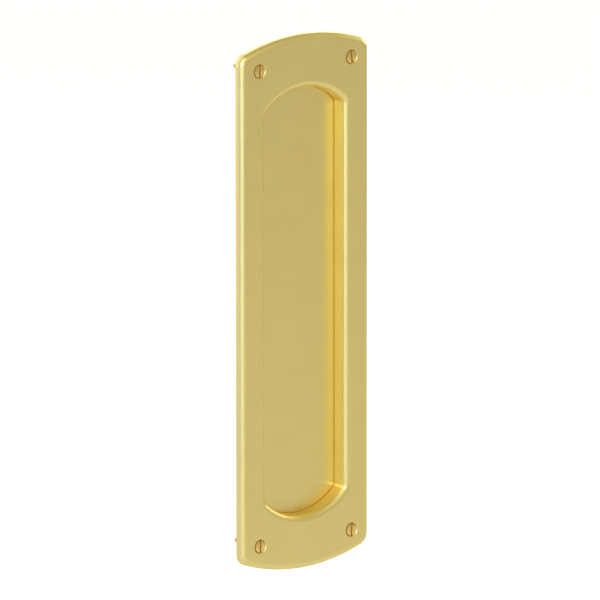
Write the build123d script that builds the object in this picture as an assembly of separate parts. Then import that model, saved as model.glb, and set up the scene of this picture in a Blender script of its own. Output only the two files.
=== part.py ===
from build123d import *
from math import radians, tan
import os

os.makedirs("parts", exist_ok=True)

# Lengths are in millimetres and angles in degrees. X points right, Z points up and -Y points out of the
# door, so the door's surface is the plane Y = 0 and the plate stands in front of it.

# The plate's outline, with straight sides and an arc at each end
plate_height = 254.0
plate_width = 76.2
plate_rise = 7.4
plate_corner = 6.1
plate_depth = 4.7
edge_round = 3.1

# The well for the fingers, inside these margins of the plate and as deep as its floor lies under the face
side_margin = 14.65
end_margin = 25.45
well_rise = 9.7
well_corner = 2.5
well_depth = 8.35
lip_round = 3.2

# The metal that is left where the back of the forging is relieved
rim_wall = 2.4
face_wall = 2.2
well_wall = 3.0
root_spread = 0.8

# The floor plate, its rebate behind the well's wall and the lugs staked over its back
floor_thickness = 1.6
rebate_width = 1.6
rebate_clearance = 0.15
seam_round = 0.4
stake_height = 0.8
stake_reach = 1.5
stake_length = 5.0
stake_spacing = 62.0

# The screw holes, measured from the sides and from the crowns of the end arcs
screw_from_side = 10.8
screw_from_end = 14.4
hole_clearance = 0.25
countersink_angle = 82.0
countersink_margin = 0.65
boss_wall = 2.6

# The slotted wood screws with flat countersunk heads, their length taken from the crown
head_radius = 2.85
head_land = 0.7
head_ease = 0.12
shank_radius = 1.5
thread_radius = 1.75
thread_run_out = 0.6
screw_length = 20.0
point_length = 4.5
point_radius = 0.1
slot_width = 1.0
slot_depth = 1.2
slot_turns = (1.0, -8.5, 0.0, 2.5)

# Places that follow from the sizes above
face_y = -plate_depth
floor_y = face_y + well_depth
floor_back_y = floor_y + floor_thickness
well_width = plate_width - 2 * side_margin
well_height = plate_height - 2 * end_margin
screw_x = plate_width / 2 - screw_from_side
screw_z = plate_height / 2 - screw_from_end
screw_places = [(-screw_x, screw_z), (screw_x, screw_z), (-screw_x, -screw_z), (screw_x, -screw_z)]
cone_slope = tan(radians(countersink_angle / 2))
hole_radius = thread_radius + hole_clearance
sink_radius = head_radius + countersink_margin
head_edge_y = face_y + countersink_margin / cone_slope


# Shapes that several pieces share

def arched_face(width, height, rise, corner, inset, y):
    """An upright shape with straight sides and arc ends, moved in by inset all round, at depth y."""
    half_width = width / 2
    shoulder = height / 2 - rise
    top = ThreePointArc((-half_width, shoulder), (0, height / 2), (half_width, shoulder))
    right = Line((half_width, shoulder), (half_width, -shoulder))
    bottom = ThreePointArc((half_width, -shoulder), (0, -height / 2), (-half_width, -shoulder))
    left = Line((-half_width, -shoulder), (-half_width, shoulder))
    shape = make_face(top + right + bottom + left)
    shape = fillet(shape.vertices(), corner)
    if inset:
        shape = offset(shape, -inset)
    return Plane.XZ.offset(-y) * shape


def plate_shape(inset, y):
    """The plate's outline, moved in by inset."""
    return arched_face(plate_width, plate_height, plate_rise, plate_corner, inset, y)


def well_shape(outset, y):
    """The well's outline, moved out by outset."""
    return arched_face(well_width, well_height, well_rise, well_corner, -outset, y)


def edges_in_plane(solid, y, half_width):
    """The edges at depth y that stay within half_width of the middle."""
    found = []
    for edge in solid.edges():
        box = edge.bounding_box()
        if max(abs(box.min.Y - y), abs(box.max.Y - y)) < 0.001 and max(-box.min.X, box.max.X) < half_width + 0.01:
            found.append(edge)
    return found


# The forged frame

def frame_slab():
    """The plate as a solid slab with its front edge rounded."""
    slab = extrude(plate_shape(0, 0), plate_depth)
    return fillet(edges_in_plane(slab, face_y, plate_width / 2), edge_round)


def back_relief():
    """The metal taken out of the back, between the rim, the well's wall and the bosses round the holes."""
    depth = plate_depth - face_wall
    relief = extrude(plate_shape(rim_wall, 0), depth)
    relief -= extrude(well_shape(well_wall, 0), depth)
    relief = chamfer(edges_in_plane(relief, -depth, plate_width / 2), root_spread)
    for x, z in screw_places:
        relief -= Pos(x, 0, z) * screw_boss(depth)
    return relief


def screw_boss(depth):
    """A boss that stands from the back of the face to the door's surface, on the Y axis, with a spread foot."""
    radius = hole_radius + boss_wall
    outline = Polyline(
        (0, 0),
        (radius, 0),
        (radius, root_spread - depth),
        (radius + root_spread, -depth),
        (0, -depth),
        close=True,
    )
    return revolve(make_face(outline), Axis.Y)


def well_tub():
    """The outside of the well's wall, from the back of the face to the edge that is staked over."""
    end_y = floor_back_y + stake_height
    return extrude(well_shape(well_wall, end_y), end_y - face_y - face_wall / 2)


def well_hollow():
    """The well and the wider rebate behind it, which makes the ledge that the floor plate seats on."""
    end_y = floor_back_y + stake_height
    hollow = extrude(well_shape(0, end_y), end_y - face_y)
    hollow += extrude(well_shape(rebate_width, end_y), end_y - floor_y)
    return hollow


def stake():
    """One lug, bent from the rebate's edge over the back of the floor plate, on the +X side of the origin."""
    root = (well_wall - rebate_width) / 2
    outline = Polyline(
        (root, floor_back_y),
        (-stake_reach, floor_back_y),
        (-stake_reach, floor_back_y + stake_height / 3),
        (root, floor_back_y + stake_height),
        close=True,
    )
    return extrude(make_face(outline), stake_length / 2, both=True)


def stakes():
    """Three lugs along each side and one at each end."""
    side = well_width / 2 + rebate_width
    end = well_height / 2 + rebate_width
    lugs = [Rot(0, turn, 0) * Pos(end, 0, 0) * stake() for turn in (90, -90)]
    for turn in (0, 180):
        lugs += [Pos(0, 0, row * stake_spacing) * Rot(0, turn, 0) * Pos(side, 0, 0) * stake() for row in (-1, 0, 1)]
    return lugs


def screw_hole():
    """A clearance hole with the countersink that takes the screw's head, on the Y axis."""
    seat_end = face_y + (sink_radius - hole_radius) / cone_slope
    outline = Polyline(
        (0, face_y - 1),
        (sink_radius + cone_slope, face_y - 1),
        (hole_radius, seat_end),
        (hole_radius, 1),
        (0, 1),
        close=True,
    )
    return revolve(make_face(outline), Axis.Y)


def face_frame():
    """The forging: slab, well and bosses in one, with the lip and the foot of the wall rounded."""
    frame = frame_slab() - back_relief() + well_tub() - well_hollow()
    frame = fillet(edges_in_plane(frame, face_y, well_width / 2), lip_round)
    frame = fillet(edges_in_plane(frame, floor_y, well_width / 2), seam_round)
    for x, z in screw_places:
        frame -= Pos(x, 0, z) * screw_hole()
    return frame + stakes()


# The floor plate

def well_floor():
    """The flat plate that closes the well, seated against the ledge of the rebate."""
    return extrude(well_shape(rebate_width - rebate_clearance, floor_back_y), floor_thickness)


# The screws

def mounting_screw(turn):
    """A screw on the Y axis, its cone in the countersink and its slot turned from upright. The plain shank
    passes through the plate, and the threaded part, as wide as the thread's crest, starts at the door."""
    crown_y = head_edge_y - head_land
    cone_end = head_edge_y + (head_radius - shank_radius) / cone_slope
    tip_y = crown_y + screw_length
    outline = Polyline(
        (0, crown_y),
        (head_radius - head_ease, crown_y),
        (head_radius, crown_y + head_ease),
        (head_radius, head_edge_y),
        (shank_radius, cone_end),
        (shank_radius, -thread_run_out),
        (thread_radius, 0),
        (thread_radius, tip_y - point_length),
        (point_radius, tip_y),
        (0, tip_y),
        close=True,
    )
    screw = revolve(make_face(outline), Axis.Y)
    slot = Box(slot_width, slot_depth, 3 * head_radius, align=(Align.CENTER, Align.MIN, Align.CENTER))
    return screw - Pos(0, crown_y, 0) * Rot(0, turn, 0) * slot


def mounting_screws():
    """The four screws, each a solid of its own."""
    return Compound([Pos(x, 0, z) * mounting_screw(turn) for (x, z), turn in zip(screw_places, slot_turns)])


export_step(face_frame(), "parts/face_frame.step")
export_step(well_floor(), "parts/well_floor.step")
export_step(mounting_screws(), "parts/mounting_screws.step")
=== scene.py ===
import math

import bmesh
import bpy
from bmesh.types import BMEdge, BMVert
from mathutils import Matrix, Quaternion, Vector


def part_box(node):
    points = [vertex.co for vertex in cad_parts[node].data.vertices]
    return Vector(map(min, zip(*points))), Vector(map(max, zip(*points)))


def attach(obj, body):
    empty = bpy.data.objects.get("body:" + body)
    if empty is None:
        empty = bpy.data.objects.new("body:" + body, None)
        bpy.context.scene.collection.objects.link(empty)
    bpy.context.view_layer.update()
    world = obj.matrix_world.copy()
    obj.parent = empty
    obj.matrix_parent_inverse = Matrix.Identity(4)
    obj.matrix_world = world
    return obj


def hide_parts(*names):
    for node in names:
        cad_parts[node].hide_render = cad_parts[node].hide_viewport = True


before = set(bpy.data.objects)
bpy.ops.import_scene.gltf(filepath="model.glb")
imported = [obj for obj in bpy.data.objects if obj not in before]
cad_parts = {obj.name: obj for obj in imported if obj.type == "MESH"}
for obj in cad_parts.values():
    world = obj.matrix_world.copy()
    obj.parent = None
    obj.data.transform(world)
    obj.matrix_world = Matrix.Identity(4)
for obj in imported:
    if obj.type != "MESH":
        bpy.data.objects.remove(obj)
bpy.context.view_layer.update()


# The face frame: one brass forging with arched ends, a rounded front edge and a mouth for the fingers. Its
# back is relieved to an even wall, with a rim that lies on the door and a boss round each screw hole, and
# the wall of the well ends in a rebate whose edge is staked over the floor plate in eight places.

MM = 0.001
plate_low, plate_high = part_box("face_frame")
plate_width = plate_high.x - plate_low.x
plate_height = plate_high.z - plate_low.z
face_y = plate_low.y
wall_end_y = plate_high.y
plate_rise = 7.4 * MM
plate_corner = 6.1 * MM
edge_round = 3.1 * MM
side_margin = 14.65 * MM
end_margin = 25.45 * MM
well_width = plate_width - 2 * side_margin
well_height = plate_height - 2 * end_margin
well_rise = 9.7 * MM
well_corner = 2.5 * MM
lip_round = 3.2 * MM
well_depth = 8.35 * MM
floor_y = face_y + well_depth
rim_wall = 2.4 * MM
face_wall = 2.2 * MM
relief_y = face_y + face_wall
well_wall = 3.0 * MM
root_spread = 0.8 * MM
rebate_width = 1.6 * MM
seam_round = 0.4 * MM
edge_break = 0.12 * MM
merge_reach = 0.002 * MM
sharp_angle = math.radians(28)
round_steps = 14
corner_steps = 14
end_steps = 24


def only(items, kinds):
    """The vertices, edges or both that are among a mix of mesh elements."""
    return [item for item in items if isinstance(item, kinds)]


def quarter_round(centre, radius, start):
    """Points of a quarter circle in a section, clockwise from the start angle in degrees."""
    turns = [math.radians(start - 90 * step / round_steps) for step in range(round_steps + 1)]
    return [(centre[0] + radius * math.cos(turn), centre[1] + radius * math.sin(turn)) for turn in turns]


def section_line(bm, section, start=0.0):
    """A section of (outset, depth) points as a chain of edges at the start distance along X."""
    points = [bm.verts.new((start + outset, depth, 0)) for outset, depth in section]
    return points + [bm.edges.new(pair) for pair in zip(points, points[1:])]


def carried_round(bm, section, width, height, rise, corner):
    """A section carried along a quarter of an arch-ended outline: up half the side, round the corner and
    along half the end arc."""
    half = width / 2
    end_radius = (rise**2 + half**2) / (2 * rise)
    end_centre = height / 2 - end_radius
    corner_x = half - corner
    corner_z = end_centre + math.sqrt((end_radius - corner) ** 2 - corner_x**2)
    end_angle = math.atan2(corner_x, corner_z - end_centre)
    side = bmesh.ops.extrude_edge_only(bm, edges=only(section_line(bm, section, half), BMEdge))["geom"]
    bmesh.ops.translate(bm, verts=only(side, BMVert), vec=(0, 0, corner_z))
    leading = only(side, (BMEdge, BMVert))
    for centre, angle, steps in (
        ((corner_x, 0, corner_z), math.pi / 2 - end_angle, corner_steps),
        ((0, 0, end_centre), end_angle, end_steps),
    ):
        swept = bmesh.ops.spin(bm, geom=leading, cent=centre, axis=(0, -1, 0), angle=angle, steps=steps)
        leading = swept["geom_last"]


def open_edges(bm, depth):
    """The free edges of a mesh that lie at one depth."""
    return [
        edge for edge in bm.edges
        if edge.is_boundary and all(abs(vert.co.y - depth) < merge_reach for vert in edge.verts)
    ]


def mirrored_twice(bm):
    """Makes the whole of a shape from its quarter, across the upright and the level middle."""
    for axis in ("X", "Z"):
        whole = bm.verts[:] + bm.edges[:] + bm.faces[:]
        bmesh.ops.mirror(bm, geom=whole, matrix=Matrix.Identity(4), merge_dist=merge_reach, axis=axis)


def as_object(bm, name):
    """The mesh as an object, with its doubles merged and its faces turned outwards."""
    bmesh.ops.remove_doubles(bm, verts=bm.verts, dist=merge_reach)
    bmesh.ops.recalc_face_normals(bm, faces=bm.faces)
    mesh = bpy.data.meshes.new(name)
    bm.to_mesh(mesh)
    bm.free()
    piece = bpy.data.objects.new(name, mesh)
    bpy.context.collection.objects.link(piece)
    return piece


def shaded(piece, material):
    """Gives the piece its material and smooth shading, with sharp edges kept and flat faces even."""
    bm = bmesh.new()
    bm.from_mesh(piece.data)
    bmesh.ops.remove_doubles(bm, verts=bm.verts, dist=merge_reach)
    bmesh.ops.dissolve_degenerate(bm, edges=bm.edges, dist=merge_reach)
    loose = [edge for edge in bm.edges if not edge.link_faces]
    bmesh.ops.delete(bm, geom=loose, context="EDGES")
    for face in bm.faces:
        face.smooth = True
    for edge in bm.edges:
        edge.smooth = edge.is_manifold and edge.calc_face_angle() < sharp_angle
    bm.to_mesh(piece.data)
    bm.free()
    even = piece.modifiers.new("even_faces", "WEIGHTED_NORMAL")
    even.keep_sharp = True
    piece.data.materials.clear()
    piece.data.materials.append(material)


def combined(piece, tool, operation):
    """The piece with another solid joined to it or cut out of it."""
    change = piece.modifiers.new("change", "BOOLEAN")
    change.operation = operation
    change.solver = "EXACT"
    change.use_self = True
    change.object = tool
    shapes = bpy.context.evaluated_depsgraph_get()
    mesh = bpy.data.meshes.new_from_object(piece.evaluated_get(shapes))
    piece.modifiers.clear()
    piece.data = mesh
    bpy.data.objects.remove(tool)


def turned(bm, section, steps):
    """A solid turned on the Y axis from a section of (radius, depth) points."""
    bmesh.ops.spin(
        bm,
        geom=section_line(bm, section),
        cent=(0, 0, 0),
        axis=(0, 1, 0),
        angle=2 * math.pi,
        steps=steps,
        use_merge=True,
    )


def painted(piece, amount):
    """Stores the painted shade at each vertex, from 0 on open faces to 1 deep in a seam."""
    marks = piece.data.attributes.new("painted_shade", "FLOAT", "POINT")
    marks.data.foreach_set("value", [amount(vert.co) for vert in piece.data.vertices])


def fade(value, start, end):
    """A smooth step from 0 at the start to 1 at the end."""
    share = min(1, max(0, (value - start) / (end - start)))
    return share * share * (3 - 2 * share)


def math_node(tree, operation, *values):
    """The result of a math node, each of its inputs a number or another node's output."""
    node = tree.nodes.new("ShaderNodeMath")
    node.operation = operation
    for socket, value in zip(node.inputs, values):
        if isinstance(value, bpy.types.NodeSocket):
            tree.links.new(value, socket)
        else:
            socket.default_value = value
    return node.outputs["Value"]


def spread(tree, share, low, high):
    """A share from 0 to 1 turned into a value from low to high."""
    node = tree.nodes.new("ShaderNodeMapRange")
    node.inputs["To Min"].default_value = low
    node.inputs["To Max"].default_value = high
    tree.links.new(share, node.inputs["Value"])
    return node.outputs["Result"]


# The surface group darkens the brass towards a painted shade colour where the vertices' painted shade mask
# is high, and roughens it there.
cloud_size = 14 * MM
cloud_detail = 3.0
cloud_shades = (0.97, 1.03)
cloud_roughness = (0.92, 1.08)
crevice_roughening = 0.2
grain_detail = 2.0

brass_surface = bpy.data.node_groups.new("brass_surface", "ShaderNodeTree")
for socket_name, kind, way in (
    ("Brass", "NodeSocketColor", "INPUT"),
    ("Painted Shade", "NodeSocketColor", "INPUT"),
    ("Roughness", "NodeSocketFloat", "INPUT"),
    ("Grain Size", "NodeSocketFloat", "INPUT"),
    ("Grain Depth", "NodeSocketFloat", "INPUT"),
    ("Color", "NodeSocketColor", "OUTPUT"),
    ("Surface Roughness", "NodeSocketFloat", "OUTPUT"),
    ("Normal", "NodeSocketVector", "OUTPUT"),
):
    brass_surface.interface.new_socket(socket_name, in_out=way, socket_type=kind)
nodes = brass_surface.nodes
links = brass_surface.links
given = nodes.new("NodeGroupInput")
result = nodes.new("NodeGroupOutput")
position = nodes.new("ShaderNodeTexCoord")
painted_shade = nodes.new("ShaderNodeAttribute")
painted_shade.attribute_name = "painted_shade"
cloud = nodes.new("ShaderNodeTexNoise")
cloud.inputs["Scale"].default_value = 1 / cloud_size
cloud.inputs["Detail"].default_value = cloud_detail
links.new(position.outputs["Object"], cloud.inputs["Vector"])
clouded_brass = nodes.new("ShaderNodeVectorMath")
clouded_brass.operation = "SCALE"
links.new(given.outputs["Brass"], clouded_brass.inputs["Vector"])
links.new(spread(brass_surface, cloud.outputs["Fac"], *cloud_shades), clouded_brass.inputs["Scale"])
shade_mix = nodes.new("ShaderNodeMix")
shade_mix.data_type = "RGBA"
links.new(painted_shade.outputs["Fac"], shade_mix.inputs["Factor"])
links.new(clouded_brass.outputs["Vector"], shade_mix.inputs["A"])
links.new(given.outputs["Painted Shade"], shade_mix.inputs["B"])
links.new(shade_mix.outputs["Result"], result.inputs["Color"])
clouding = spread(brass_surface, cloud.outputs["Fac"], *cloud_roughness)
roughness = math_node(brass_surface, "MULTIPLY", given.outputs["Roughness"], clouding)
roughened = math_node(brass_surface, "MULTIPLY_ADD", painted_shade.outputs["Fac"], crevice_roughening, roughness)
links.new(roughened, result.inputs["Surface Roughness"])
grain = nodes.new("ShaderNodeTexNoise")
grain.inputs["Detail"].default_value = grain_detail
links.new(position.outputs["Object"], grain.inputs["Vector"])
links.new(math_node(brass_surface, "DIVIDE", 1.0, given.outputs["Grain Size"]), grain.inputs["Scale"])
grain_bump = nodes.new("ShaderNodeBump")
links.new(given.outputs["Grain Depth"], grain_bump.inputs["Distance"])
links.new(grain.outputs["Fac"], grain_bump.inputs["Height"])
links.new(grain_bump.outputs["Normal"], result.inputs["Normal"])


def brass(name, colour, painted_shade_colour, roughness, grain_size, grain_depth):
    """A brass finish: its own shader, with colour, roughness and relief from the shared surface group, and
    painted shade in its seams and grooves.
    """
    material = bpy.data.materials.new(name)
    material.use_nodes = True
    tree = material.node_tree
    metal = tree.nodes["Principled BSDF"]
    metal.inputs["Metallic"].default_value = 1.0
    surface = tree.nodes.new("ShaderNodeGroup")
    surface.node_tree = brass_surface
    surface.inputs["Brass"].default_value = (*colour, 1.0)
    surface.inputs["Painted Shade"].default_value = (*painted_shade_colour, 1.0)
    surface.inputs["Roughness"].default_value = roughness
    surface.inputs["Grain Size"].default_value = grain_size
    surface.inputs["Grain Depth"].default_value = grain_depth
    tree.links.new(surface.outputs["Color"], metal.inputs["Base Color"])
    tree.links.new(surface.outputs["Surface Roughness"], metal.inputs["Roughness"])
    tree.links.new(surface.outputs["Normal"], metal.inputs["Normal"])
    return material


# The second colour of this brass is painted shade for the seam at the foot of the well and the grooves
# round the screws.
satin_brass = brass(
    "satin_brass",
    colour=(0.90, 0.75, 0.31),
    painted_shade_colour=(0.80, 0.49, 0.07),
    roughness=0.36,
    grain_size=0.12 * MM,
    grain_depth=0.002 * MM,
)

plate_section = [
    (-rim_wall - root_spread, relief_y),
    (-rim_wall, relief_y + root_spread),
    (-rim_wall, -edge_break),
    (edge_break - rim_wall, 0),
    (-edge_break, 0),
    (0, -edge_break),
    *quarter_round((-edge_round, face_y + edge_round), edge_round, 0),
]
well_section = [
    *quarter_round((lip_round, face_y + lip_round), lip_round, -90),
    *quarter_round((seam_round, floor_y - seam_round), seam_round, 180),
    (rebate_width, floor_y),
    (rebate_width, wall_end_y - edge_break),
    (rebate_width + edge_break, wall_end_y),
    (well_wall - edge_break, wall_end_y),
    (well_wall, wall_end_y - edge_break),
    (well_wall, relief_y + root_spread),
    (well_wall + root_spread, relief_y),
]
bm = bmesh.new()
carried_round(bm, plate_section, plate_width, plate_height, plate_rise, plate_corner)
carried_round(bm, well_section, well_width, well_height, well_rise, well_corner)
for depth in (face_y, relief_y):
    bmesh.ops.bridge_loops(bm, edges=open_edges(bm, depth))
mirrored_twice(bm)
face_frame = as_object(bm, "face_frame_forging")

screw_from_side = 10.8 * MM
screw_from_end = 14.4 * MM
screw_x = plate_width / 2 - screw_from_side
screw_z = plate_height / 2 - screw_from_end
screw_places = [(-screw_x, screw_z), (screw_x, screw_z), (-screw_x, -screw_z), (screw_x, -screw_z)]
hole_radius = 2.0 * MM
sink_radius = 3.5 * MM
boss_radius = 4.6 * MM
countersink_angle = 82.0
cone_slope = math.tan(math.radians(countersink_angle / 2))
hole_steps = 96
overrun = 1.0 * MM

# Rings of vertices down the countersink, in from its edge, that carry the painted shade
sink_rings = (0.08 * MM, 0.25 * MM, 0.42 * MM, 0.6 * MM)


def at_each_screw(section):
    """The same turned solid at each of the four screws."""
    bm = bmesh.new()
    turned(bm, section, hole_steps)
    one = bm.verts[:] + bm.edges[:] + bm.faces[:]
    for x, z in screw_places[1:]:
        copy = bmesh.ops.duplicate(bm, geom=one)["geom"]
        bmesh.ops.translate(bm, verts=only(copy, BMVert), vec=(x, 0, z))
    first_x, first_z = screw_places[0]
    bmesh.ops.translate(bm, verts=only(one, BMVert), vec=(first_x, 0, first_z))
    return as_object(bm, "tool")


boss_section = [
    (0, 0),
    (boss_radius, 0),
    (boss_radius, relief_y + root_spread),
    (boss_radius + root_spread, relief_y),
    (boss_radius + root_spread, relief_y - overrun),
    (0, relief_y - overrun),
]
hole_section = [
    (0, face_y - overrun),
    (sink_radius + cone_slope * overrun, face_y - overrun),
    *[(sink_radius - inset, face_y + inset / cone_slope) for inset in sink_rings],
    (hole_radius, face_y + (sink_radius - hole_radius) / cone_slope),
    (hole_radius, overrun),
    (0, overrun),
]
combined(face_frame, at_each_screw(boss_section), "UNION")
combined(face_frame, at_each_screw(hole_section), "DIFFERENCE")

floor_thickness = 1.6 * MM
floor_back_y = floor_y + floor_thickness
stake_reach = 1.5 * MM
stake_length = 5.0 * MM
stake_spacing = 62.0 * MM
stake_root = (well_wall - rebate_width) / 2
stake_section = [
    (stake_root, floor_back_y),
    (-stake_reach, floor_back_y),
    (-stake_reach, floor_back_y + (wall_end_y - floor_back_y) / 3),
    (stake_root, wall_end_y),
]
bm = bmesh.new()
stake_places = [(90, well_height / 2, 0), (-90, well_height / 2, 0)]
stake_places += [(turn, well_width / 2, row * stake_spacing) for turn in (0, 180) for row in (-1, 0, 1)]
for turn, reach, along in stake_places:
    profile = [bm.verts.new((outset, depth, -stake_length / 2)) for outset, depth in stake_section]
    far = only(bmesh.ops.extrude_face_region(bm, geom=[bm.faces.new(profile)])["geom"], BMVert)
    bmesh.ops.translate(bm, verts=far, vec=(0, 0, stake_length))
    lug = profile + far
    bmesh.ops.translate(bm, verts=lug, vec=(reach + rebate_width, 0, 0))
    bmesh.ops.rotate(bm, verts=lug, cent=(0, 0, 0), matrix=Matrix.Rotation(math.radians(turn), 3, "Y"))
    bmesh.ops.translate(bm, verts=lug, vec=(0, 0, along))
combined(face_frame, as_object(bm, "stakes"), "UNION")
shaded(face_frame, satin_brass)

# The painted shade in the countersink starts past its bright lip and deepens between two distances in from
# its edge
sink_lip = 0.04 * MM
sink_shade = 0.2
groove_start = 0.2 * MM
groove_dark = 0.5 * MM
seam_dark_y = floor_y - 0.6 * seam_round


def frame_painted_shade(spot):
    """Painted shade at the foot of the well's wall and down in the groove round each screw's head."""
    from_screw = math.hypot(abs(spot.x) - screw_x, abs(spot.z) - screw_z)
    if from_screw < sink_radius - sink_lip and spot.y > face_y + sink_lip:
        return sink_shade + (1 - sink_shade) * fade(sink_radius - from_screw, groove_start, groove_dark)
    if abs(spot.y - floor_y) < seam_round:
        return fade(spot.y, floor_y - seam_round, seam_dark_y)
    return 0.0


painted(face_frame, frame_painted_shade)
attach(face_frame, "root")
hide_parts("face_frame")


# The well floor: a flat brass plate, seated against the ledge of the rebate and held there by the staked
# lugs. The rounded foot of the wall in front of it leaves the thin dark seam round the bottom of the well,
# which painted shade on the floor next to it deepens.

rebate_clearance = 0.15 * MM
floor_outset = rebate_width - rebate_clearance
seam_width = 0.3 * MM
well_end_radius = (well_rise**2 + (well_width / 2) ** 2) / (2 * well_rise)

# Two rings of vertices, in from the wall, between which the painted shade of the seam ends
seam_rings = (0.45 * MM, 0.2 * MM)

floor_section = [
    *[(-inset, floor_y) for inset in seam_rings],
    (floor_outset - edge_break, floor_y),
    (floor_outset, floor_y + edge_break),
    (floor_outset, floor_back_y - edge_break),
    (floor_outset - edge_break, floor_back_y),
]
bm = bmesh.new()
carried_round(bm, floor_section, well_width, well_height, well_rise, well_corner)
mirrored_twice(bm)
bmesh.ops.remove_doubles(bm, verts=bm.verts, dist=merge_reach)
for depth in (floor_y, floor_back_y):
    bmesh.ops.holes_fill(bm, edges=open_edges(bm, depth))
well_floor = as_object(bm, "well_floor_plate")
shaded(well_floor, satin_brass)


def floor_painted_shade(spot):
    """Painted shade along the seam, on the strip of the front face next to the wall's foot."""
    if spot.y > floor_y + merge_reach:
        return 0.0
    arc_centre = well_height / 2 - well_end_radius
    arc_top = arc_centre + math.sqrt((well_end_radius - seam_width) ** 2 - spot.x**2)
    beyond = max(abs(spot.x) - well_width / 2 + seam_width, abs(spot.z) - arc_top)
    return 1.0 if beyond > 0 else 0.0


painted(well_floor, floor_painted_shade)
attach(well_floor, "root")
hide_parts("well_floor")


# The four mounting screws: slotted brass wood screws with flat countersunk heads, each headed and turned
# from wire, its thread cut to a sharp gimlet point and its slot sawn across. A head lies level with the
# face, inside a wider countersink, which leaves a narrow groove round it.

# The second colour of this brass is painted shade for the side of each head, the slot's bottom and the
# stem.
polished_brass = brass(
    "polished_brass",
    colour=(0.90, 0.70, 0.26),
    painted_shade_colour=(0.56, 0.25, 0.03),
    roughness=0.25,
    grain_size=0.4 * MM,
    grain_depth=0.002 * MM,
)

head_radius = 2.85 * MM
head_land = 0.7 * MM
head_ease = 0.12 * MM
head_ease_middle = 0.3 * head_ease
head_edge_y = face_y + (sink_radius - head_radius) / cone_slope
crown_y = head_edge_y - head_land
shank_radius = 1.5 * MM
shank_end = 1.0 * MM
root_radius = 1.2 * MM
crest_radius = 1.75 * MM
crest_width = 0.12 * MM
crest_height = crest_radius - root_radius
point_length = 4.5 * MM
tip_radius = 0.1 * MM
tip_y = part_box("mounting_screws")[1].y
slot_width = 1.0 * MM
slot_depth = 1.2 * MM
slot_turns = (1.0, -8.5, 0.0, 2.5)
turn_steps = 40
head_steps = 96

# The thread's ridge grows over one length and sinks away over the other. Its ends lie under the core by a
# share of its height, and its foot lies inside the core, at a share of the radius.
pitch = 1.35 * MM
ridge_width = 0.84 * pitch
thread_start = -1.5 * pitch
thread_end = tip_y - 0.8 * MM
grow_length = 2 * pitch
sink_length = pitch
sunk_share = 0.15
inside_share = 0.5


def core_radius(depth):
    """The radius under the thread, even along the stem and falling to the point."""
    fall = max(0, (depth - tip_y + point_length) / point_length)
    return root_radius + (tip_radius - root_radius) * fall


def ridge():
    """The thread: a wedge wound round the core, growing out of the shank and sinking away at the point."""
    bm = bmesh.new()
    turns = (thread_end - thread_start) / pitch
    steps = round(turns * turn_steps)
    wedge = ((-ridge_width / 2, 0), (-crest_width / 2, 1), (crest_width / 2, 1), (ridge_width / 2, 0))
    profile = [
        bm.verts.new(((inside_share + rise) * root_radius, thread_start + along, 0))
        for along, rise in wedge
    ]
    cap = bm.faces.new(profile)
    wound = bmesh.ops.spin(
        bm,
        geom=cap.edges[:],
        cent=(0, 0, 0),
        axis=(0, -1, 0),
        dvec=(0, (thread_end - thread_start) / steps, 0),
        angle=2 * math.pi * turns,
        steps=steps,
    )
    bm.faces.new(only(wound["geom_last"], BMVert))
    for vert in bm.verts:
        reach = math.hypot(vert.co.x, vert.co.z)
        core = core_radius(vert.co.y)
        grown = min(1, (vert.co.y - thread_start) / grow_length, (thread_end - vert.co.y) / sink_length)
        crest = core + crest_height * ((1 + sunk_share) * max(0, grown) - sunk_share)
        wanted = crest if reach > root_radius else inside_share * core
        vert.co.x *= wanted / reach
        vert.co.z *= wanted / reach
    return as_object(bm, "ridge")


screw_section = [
    (0, crown_y),
    (head_radius - head_ease, crown_y),
    (head_radius - head_ease_middle, crown_y + head_ease_middle),
    (head_radius, crown_y + head_ease),
    (head_radius, head_edge_y),
    (shank_radius, head_edge_y + (head_radius - shank_radius) / cone_slope),
    (shank_radius, -shank_end),
    (root_radius, 0),
    (root_radius, tip_y - point_length),
    (tip_radius, tip_y),
    (0, tip_y),
]
bm = bmesh.new()
turned(bm, screw_section, head_steps)
screw = as_object(bm, "screw")
combined(screw, ridge(), "UNION")

# The slot's cutter is centred on the crown and longer than the head is wide
bm = bmesh.new()
slot_place = Matrix.LocRotScale((0, crown_y, 0), None, (slot_width, 2 * slot_depth, 4 * head_radius))
bmesh.ops.create_cube(bm, size=1, matrix=slot_place)
combined(screw, as_object(bm, "slot"), "DIFFERENCE")

bm = bmesh.new()
for (x, z), turn in zip(screw_places, slot_turns):
    others = set(bm.verts)
    bm.from_mesh(screw.data)
    added = [vert for vert in bm.verts if vert not in others]
    bmesh.ops.rotate(bm, verts=added, cent=(0, 0, 0), matrix=Matrix.Rotation(math.radians(turn), 3, "Y"))
    bmesh.ops.translate(bm, verts=added, vec=(x, 0, z))
bpy.data.objects.remove(screw)
screws = as_object(bm, "mounting_screws_brass")
shaded(screws, polished_brass)

# The share of the full painted shade for the slot's bottom and the stem behind the head
stem_shade = 0.22


def screw_painted_shade(spot):
    """Painted shade down the side of the head, and a lighter painted shade with a duller surface at the
    bottom of the slot and behind the head.
    """
    if spot.y > head_edge_y + merge_reach:
        return stem_shade
    return fade(spot.y, crown_y + head_ease, head_edge_y)


painted(screws, screw_painted_shade)
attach(screws, "root")
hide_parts("mounting_screws")


# The room: a white floor a little below the plate, soft boxes round it in a pale room, a white backdrop
# that the camera sees everywhere and polished metal sees behind the plate, and a camera at the left and a
# little above, where the photograph was taken.

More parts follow.
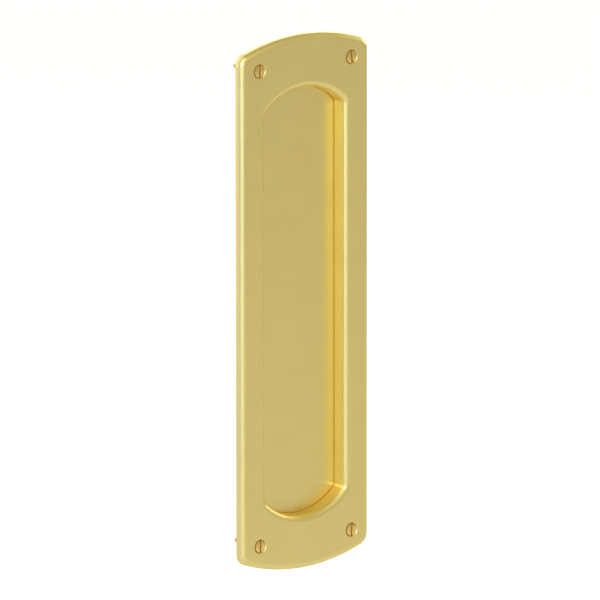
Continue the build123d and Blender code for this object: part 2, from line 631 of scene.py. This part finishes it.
floor_drop = 0.25
floor_reach = 6.0
floor_camera_glow = 0.68
floor_metal_glow = 0.13
bm = bmesh.new()
floor_place = Matrix.Translation((0, 0, plate_low.z - floor_drop))
bmesh.ops.create_grid(bm, x_segments=1, y_segments=1, size=floor_reach / 2, matrix=floor_place)
studio_floor = as_object(bm, "studio_floor")


def metal_rays(tree, rays):
    """1 for the rays that shiny surfaces send out, 0 for the others."""
    return math_node(tree, "MAXIMUM", rays.outputs["Is Glossy Ray"], rays.outputs["Is Transmission Ray"])


floor_white = bpy.data.materials.new("floor_white")
floor_white.use_nodes = True
floor_tree = floor_white.node_tree
paint = floor_tree.nodes["Principled BSDF"]
paint.inputs["Base Color"].default_value = (0.8, 0.8, 0.8, 1.0)
paint.inputs["Roughness"].default_value = 0.9
paint.inputs["Emission Color"].default_value = (1.0, 1.0, 1.0, 1.0)
rays = floor_tree.nodes.new("ShaderNodeLightPath")
floor_in_metal = math_node(floor_tree, "MULTIPLY", metal_rays(floor_tree, rays), floor_metal_glow)
floor_glow = math_node(
    floor_tree, "MULTIPLY_ADD", rays.outputs["Is Camera Ray"], floor_camera_glow, floor_in_metal,
)
floor_tree.links.new(floor_glow, paint.inputs["Emission Strength"])
studio_floor.data.materials.append(floor_white)

# The room's tones from straight down at 0 to straight up at 1
room_tones = (
    (0.0, (0.16, 0.29, 0.38)),
    (0.425, (0.16, 0.29, 0.38)),
    (0.575, (0.58, 0.59, 0.51)),
    (0.75, (0.55, 0.47, 0.27)),
    (1.0, (0.43, 0.44, 0.36)),
)
backdrop_start = 0.2
backdrop_full = 0.5

world = bpy.data.worlds.new("soft_room")
bpy.context.scene.world = world
world.use_nodes = True
room = world.node_tree
direction = room.nodes.new("ShaderNodeTexCoord")
parts = room.nodes.new("ShaderNodeSeparateXYZ")
room.links.new(direction.outputs["Generated"], parts.inputs["Vector"])
level = room.nodes.new("ShaderNodeMapRange")
level.inputs["From Min"].default_value = -1.0
room.links.new(parts.outputs["Z"], level.inputs["Value"])
tones = room.nodes.new("ShaderNodeValToRGB")
ramp = tones.color_ramp.elements
ramp.remove(ramp[1])
for height, tone in room_tones:
    stop = ramp[0] if height == 0.0 else ramp.new(height)
    stop.position = height
    stop.color = (*tone, 1.0)
room.links.new(level.outputs["Result"], tones.inputs["Fac"])
room_light = room.nodes["Background"]
room.links.new(tones.outputs["Color"], room_light.inputs["Color"])
backdrop = room.nodes.new("ShaderNodeBackground")
backdrop.inputs["Color"].default_value = (1.0, 1.0, 1.0, 1.0)
behind = room.nodes.new("ShaderNodeMapRange")
behind.interpolation_type = "SMOOTHSTEP"
behind.inputs["From Min"].default_value = backdrop_start
behind.inputs["From Max"].default_value = backdrop_full
room.links.new(parts.outputs["Y"], behind.inputs["Value"])
rays = room.nodes.new("ShaderNodeLightPath")
in_metal = math_node(room, "MULTIPLY", metal_rays(room, rays), behind.outputs["Result"])
chosen = room.nodes.new("ShaderNodeMixShader")
room.links.new(math_node(room, "MAXIMUM", rays.outputs["Is Camera Ray"], in_metal), chosen.inputs["Fac"])
room.links.new(room_light.outputs["Background"], chosen.inputs[1])
room.links.new(backdrop.outputs["Background"], chosen.inputs[2])
room.links.new(chosen.outputs["Shader"], room.nodes["World Output"].inputs["Surface"])

# Each lamp's name, its direction from the plate, its distance, width, height and brightness by colour. The
# power that gives a flat lamp its brightness grows with its area.
softboxes = (
    ("key_left_front", (-0.80, -0.50, 0.30), 1.6, 0.7, 1.2, (2.51, 2.79, 3.30)),
    ("camera_side", (-0.50, -0.84, 0.20), 1.6, 0.7, 0.8, (0.81, 0.88, 0.95)),
    ("low_left_front", (-0.62, -0.77, -0.125), 1.6, 0.7, 0.34, (0.13, 0.23, 0.22)),
    ("left", (-1.0, 0.05, 0.10), 1.6, 0.8, 1.0, (0.05, 0.15, 0.96)),
    ("back_left", (-0.70, 0.70, 0.05), 1.8, 1.2, 0.8, (0.41, 0.38, 0.40)),
    ("top_left", (-0.5, -0.35, 0.8), 1.6, 0.6, 0.6, (1.90, 1.92, 1.95)),
    ("top_front", (0.0, -0.7, 0.7), 1.6, 1.2, 0.9, (0.51, 0.43, 0.25)),
    ("right", (1.0, -0.08, 0.30), 1.6, 0.7, 0.7, (1.95, 1.90, 1.65)),
    ("back_right_top", (0.6, 0.6, 0.5), 1.8, 1.0, 1.0, (1.10, 1.45, 2.00)),
    ("back_left_top", (-0.4, 0.6, 0.7), 1.8, 1.0, 1.0, (0.21, 0.23, 0.29)),
    ("front_right", (0.62, -0.77, 0.0), 1.6, 0.8, 0.5, (0.12, 0.03, 0.01)),
)
for name, heading, away, width, tall, glow in softboxes:
    lamp_data = bpy.data.lights.new(name, "AREA")
    lamp_data.shape = "RECTANGLE"
    lamp_data.size = width
    lamp_data.size_y = tall
    strength = max(glow)
    lamp_data.color = [part / strength for part in glow]
    lamp_data.energy = math.pi * width * tall * strength
    lamp = bpy.data.objects.new(name, lamp_data)
    bpy.context.collection.objects.link(lamp)
    outward = Vector(heading).normalized()
    lamp.location = outward * away
    lamp.rotation_euler = outward.to_track_quat("Z", "Y").to_euler()

photo_side = 600
camera_left = math.radians(38.984)
camera_up = math.radians(12.390)
camera_roll = math.radians(-0.050)
camera_away = 6.2606
focal_pixels = 13488.0
centre_pixel = (299.654, 300.515)

camera_data = bpy.data.cameras.new("camera")
camera_data.sensor_width = 36.0
camera_data.lens = focal_pixels / photo_side * camera_data.sensor_width
camera_data.shift_x = 0.5 - centre_pixel[0] / photo_side
camera_data.shift_y = centre_pixel[1] / photo_side - 0.5
camera_data.clip_end = 100.0
camera = bpy.data.objects.new("camera", camera_data)
bpy.context.collection.objects.link(camera)
towards_camera = Vector((
    -math.sin(camera_left) * math.cos(camera_up),
    -math.cos(camera_left) * math.cos(camera_up),
    math.sin(camera_up),
))
camera.location = towards_camera * camera_away
camera.rotation_mode = "QUATERNION"
camera.rotation_quaternion = towards_camera.to_track_quat("Z", "Y") @ Quaternion((0, 0, 1), camera_roll)
bpy.context.scene.camera = camera

bpy.context.scene.view_settings.view_transform = "Standard"
